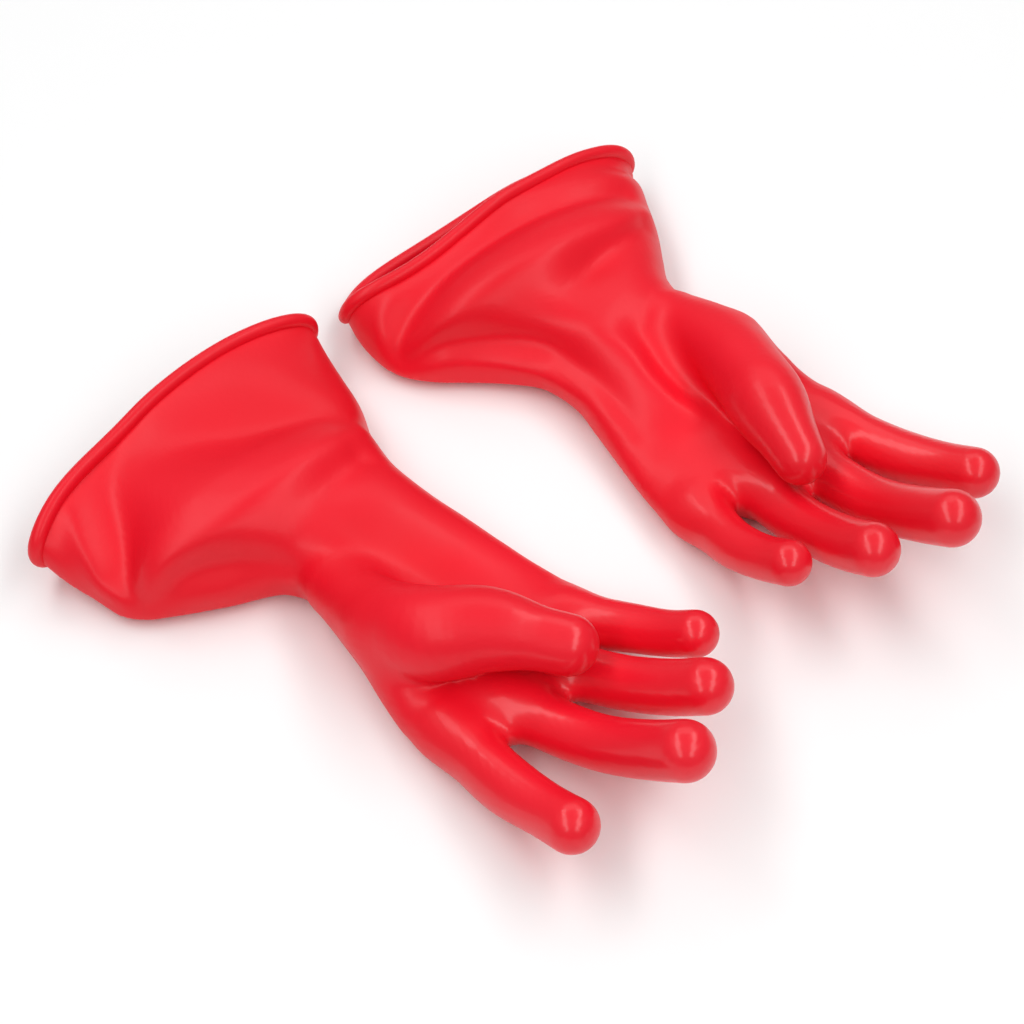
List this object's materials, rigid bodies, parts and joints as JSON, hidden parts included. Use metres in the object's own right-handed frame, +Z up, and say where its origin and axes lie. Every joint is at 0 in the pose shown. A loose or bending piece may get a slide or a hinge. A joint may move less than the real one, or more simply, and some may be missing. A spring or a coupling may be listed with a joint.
{
  "type": "electrical insulating gloves",
  "caption": "Pair of long flared rubber safety gloves with rolled cuffs, lying palm up with curled finger stalls, hollow from cuff to fingertip.",
  "frame": {"origin": "on the table, under the middle of the pair's bounding box", "axes": "+X along the gloves towards the fingertips, +Y from the right-hand glove to the left-hand glove, +Z up out of the palms"},
  "size_m": [0.3488, 0.3913, 0.066],
  "materials": {
    "red_rubber": "smooth dipped natural rubber, semi-gloss with a soft haze"
  },
  "bodies": {
    "right_hand": {"right_palm": "red_rubber"},
    "right_cuff": {"right_gauntlet": "red_rubber", "right_cuff_roll": "red_rubber"},
    "right_index_middle": {"right_index_middle": "red_rubber"},
    "right_index_tip": {"right_index_tip": "red_rubber"},
    "right_middle_middle": {"right_middle_middle": "red_rubber"},
    "right_middle_tip": {"right_middle_tip": "red_rubber"},
    "right_ring_middle": {"right_ring_middle": "red_rubber"},
    "right_ring_tip": {"right_ring_tip": "red_rubber"},
    "right_little_middle": {"right_little_middle": "red_rubber"},
    "right_little_tip": {"right_little_tip": "red_rubber"},
    "right_thumb_middle": {"right_thumb_middle": "red_rubber"},
    "right_thumb_tip": {"right_thumb_tip": "red_rubber"},
    "left_hand": {"left_palm": "red_rubber"},
    "left_cuff": {"left_gauntlet": "red_rubber", "left_cuff_roll": "red_rubber"},
    "left_index_middle": {"left_index_middle": "red_rubber"},
    "left_index_tip": {"left_index_tip": "red_rubber"},
    "left_middle_middle": {"left_middle_middle": "red_rubber"},
    "left_middle_tip": {"left_middle_tip": "red_rubber"},
    "left_ring_middle": {"left_ring_middle": "red_rubber"},
    "left_ring_tip": {"left_ring_tip": "red_rubber"},
    "left_little_middle": {"left_little_middle": "red_rubber"},
    "left_little_tip": {"left_little_tip": "red_rubber"},
    "left_thumb_middle": {"left_thumb_middle": "red_rubber"},
    "left_thumb_tip": {"left_thumb_tip": "red_rubber"}
  },
  "joints": [
    {"name": "pair_spacing", "type": "slide", "parent": "right_hand", "child": "left_hand", "axis": [0, 1, 0], "range_m": [0, 0.12]},
    {"name": "right_wrist_bend", "type": "hinge", "parent": "right_hand", "child": "right_cuff", "pos_m": [-0.04979, -0.08859, 0.02], "axis": [-0.0488, 0.9988, 0], "range_deg": [-10, 45], "stiffness_Nm_per_rad": 1},
    {"name": "right_index_bend", "type": "hinge", "parent": "right_hand", "child": "right_index_middle", "pos_m": [0.10104, -0.13277, 0.01987], "axis": [-0.0617, -0.9981, 0], "range_deg": [-15, 60], "stiffness_Nm_per_rad": 0.3},
    {"name": "right_index_tip_bend", "type": "hinge", "parent": "right_index_middle", "child": "right_index_tip", "pos_m": [0.12468, -0.13396, 0.02784], "axis": [-0.0388, -0.9992, 0], "range_deg": [-10.01, 40.01], "stiffness_Nm_per_rad": 0.2},
    {"name": "right_middle_bend", "type": "hinge", "parent": "right_hand", "child": "right_middle_middle", "pos_m": [0.12003, -0.09225, 0.02793], "axis": [0.1969, -0.9804, 0], "range_deg": [-15, 60], "stiffness_Nm_per_rad": 0.3},
    {"name": "right_middle_tip_bend", "type": "hinge", "parent": "right_middle_middle", "child": "right_middle_tip", "pos_m": [0.14314, -0.08785, 0.04287], "axis": [0.1847, -0.9828, 0], "range_deg": [-10.01, 40.01], "stiffness_Nm_per_rad": 0.2},
    {"name": "right_ring_bend", "type": "hinge", "parent": "right_hand", "child": "right_ring_middle", "pos_m": [0.1072, -0.06063, 0.02669], "axis": [0.2114, -0.9774, 0], "range_deg": [-15, 60], "stiffness_Nm_per_rad": 0.3},
    {"name": "right_ring_tip_bend", "type": "hinge", "parent": "right_ring_middle", "child": "right_ring_tip", "pos_m": [0.12793, -0.05544, 0.03957], "axis": [0.2768, -0.9609, 0], "range_deg": [-10.01, 40.01], "stiffness_Nm_per_rad": 0.2},
    {"name": "right_little_bend", "type": "hinge", "parent": "right_hand", "child": "right_little_middle", "pos_m": [0.08324, -0.03634, 0.02149], "axis": [0.244, -0.9698, 0], "range_deg": [-15, 60], "stiffness_Nm_per_rad": 0.3},
    {"name": "right_little_tip_bend", "type": "hinge", "parent": "right_little_middle", "child": "right_little_tip", "pos_m": [0.1026, -0.03139, 0.03053], "axis": [0.2537, -0.9673, 0], "range_deg": [-10.01, 40.01], "stiffness_Nm_per_rad": 0.2},
    {"name": "right_thumb_bend", "type": "hinge", "parent": "right_hand", "child": "right_thumb_middle", "pos_m": [0.05066, -0.0934, 0.04631], "axis": [0.5164, -0.7363, -0.4372], "range_deg": [0, 45], "stiffness_Nm_per_rad": 0.3},
    {"name": "right_thumb_tip_bend", "type": "hinge", "parent": "right_thumb_middle", "child": "right_thumb_tip", "pos_m": [0.07035, -0.08162, 0.04641], "axis": [0.4241, -0.7802, -0.4598], "range_deg": [0, 22.51], "stiffness_Nm_per_rad": 0.2},
    {"name": "left_wrist_bend", "type": "hinge", "parent": "left_hand", "child": "left_cuff", "pos_m": [-0.04578, 0.09063, 0.02], "axis": [0.0523, 0.9986, 0], "range_deg": [-10, 45], "stiffness_Nm_per_rad": 1},
    {"name": "left_index_bend", "type": "hinge", "parent": "left_hand", "child": "left_index_middle", "pos_m": [0.10852, 0.12953, 0.0188], "axis": [0.1685, -0.9857, 0], "range_deg": [-15, 60], "stiffness_Nm_per_rad": 0.3},
    {"name": "left_index_tip_bend", "type": "hinge", "parent": "left_index_middle", "child": "left_index_tip", "pos_m": [0.13195, 0.13296, 0.0267], "axis": [0.1345, -0.9909, 0], "range_deg": [-10.01, 40.01], "stiffness_Nm_per_rad": 0.2},
    {"name": "left_middle_bend", "type": "hinge", "parent": "left_hand", "child": "left_middle_middle", "pos_m": [0.12489, 0.09214, 0.02893], "axis": [-0.1656, -0.9862, 0], "range_deg": [-15, 60], "stiffness_Nm_per_rad": 0.3},
    {"name": "left_middle_tip_bend", "type": "hinge", "parent": "left_middle_middle", "child": "left_middle_tip", "pos_m": [0.1486, 0.09021, 0.04348], "axis": [-0.0274, -0.9996, 0], "range_deg": [-10.01, 40.01], "stiffness_Nm_per_rad": 0.2},
    {"name": "left_ring_bend", "type": "hinge", "parent": "left_hand", "child": "left_ring_middle", "pos_m": [0.1119, 0.06102, 0.02682], "axis": [-0.2598, -0.9657, 0], "range_deg": [-15, 60], "stiffness_Nm_per_rad": 0.3},
    {"name": "left_ring_tip_bend", "type": "hinge", "parent": "left_ring_middle", "child": "left_ring_tip", "pos_m": [0.13331, 0.05694, 0.0389], "axis": [-0.1156, -0.9933, 0], "range_deg": [-10.01, 40.01], "stiffness_Nm_per_rad": 0.2},
    {"name": "left_little_bend", "type": "hinge", "parent": "left_hand", "child": "left_little_middle", "pos_m": [0.08743, 0.03263, 0.02099], "axis": [-0.1853, -0.9827, 0], "range_deg": [-15, 60], "stiffness_Nm_per_rad": 0.3},
    {"name": "left_little_tip_bend", "type": "hinge", "parent": "left_little_middle", "child": "left_little_tip", "pos_m": [0.107, 0.03028, 0.03056], "axis": [-0.0339, -0.9994, 0], "range_deg": [-10.01, 40.01], "stiffness_Nm_per_rad": 0.2},
    {"name": "left_thumb_bend", "type": "hinge", "parent": "left_hand", "child": "left_thumb_middle", "pos_m": [0.05412, 0.09185, 0.04594], "axis": [-0.4982, -0.7455, 0.4428], "range_deg": [0, 45], "stiffness_Nm_per_rad": 0.3},
    {"name": "left_thumb_tip_bend", "type": "hinge", "parent": "left_thumb_middle", "child": "left_thumb_tip", "pos_m": [0.07456, 0.08151, 0.04655], "axis": [-0.3172, -0.8184, 0.4792], "range_deg": [0, 22.51], "stiffness_Nm_per_rad": 0.2}
  ],
  "couplings": [
    {"joint": "right_index_tip_bend", "follows": "right_index_bend", "ratio": 0.66667},
    {"joint": "right_middle_tip_bend", "follows": "right_middle_bend", "ratio": 0.66667},
    {"joint": "right_ring_tip_bend", "follows": "right_ring_bend", "ratio": 0.66667},
    {"joint": "right_little_tip_bend", "follows": "right_little_bend", "ratio": 0.66667},
    {"joint": "right_thumb_tip_bend", "follows": "right_thumb_bend", "ratio": 0.5},
    {"joint": "left_index_tip_bend", "follows": "left_index_bend", "ratio": 0.66667},
    {"joint": "left_middle_tip_bend", "follows": "left_middle_bend", "ratio": 0.66667},
    {"joint": "left_ring_tip_bend", "follows": "left_ring_bend", "ratio": 0.66667},
    {"joint": "left_little_tip_bend", "follows": "left_little_bend", "ratio": 0.66667},
    {"joint": "left_thumb_tip_bend", "follows": "left_thumb_bend", "ratio": 0.5}
  ]
}
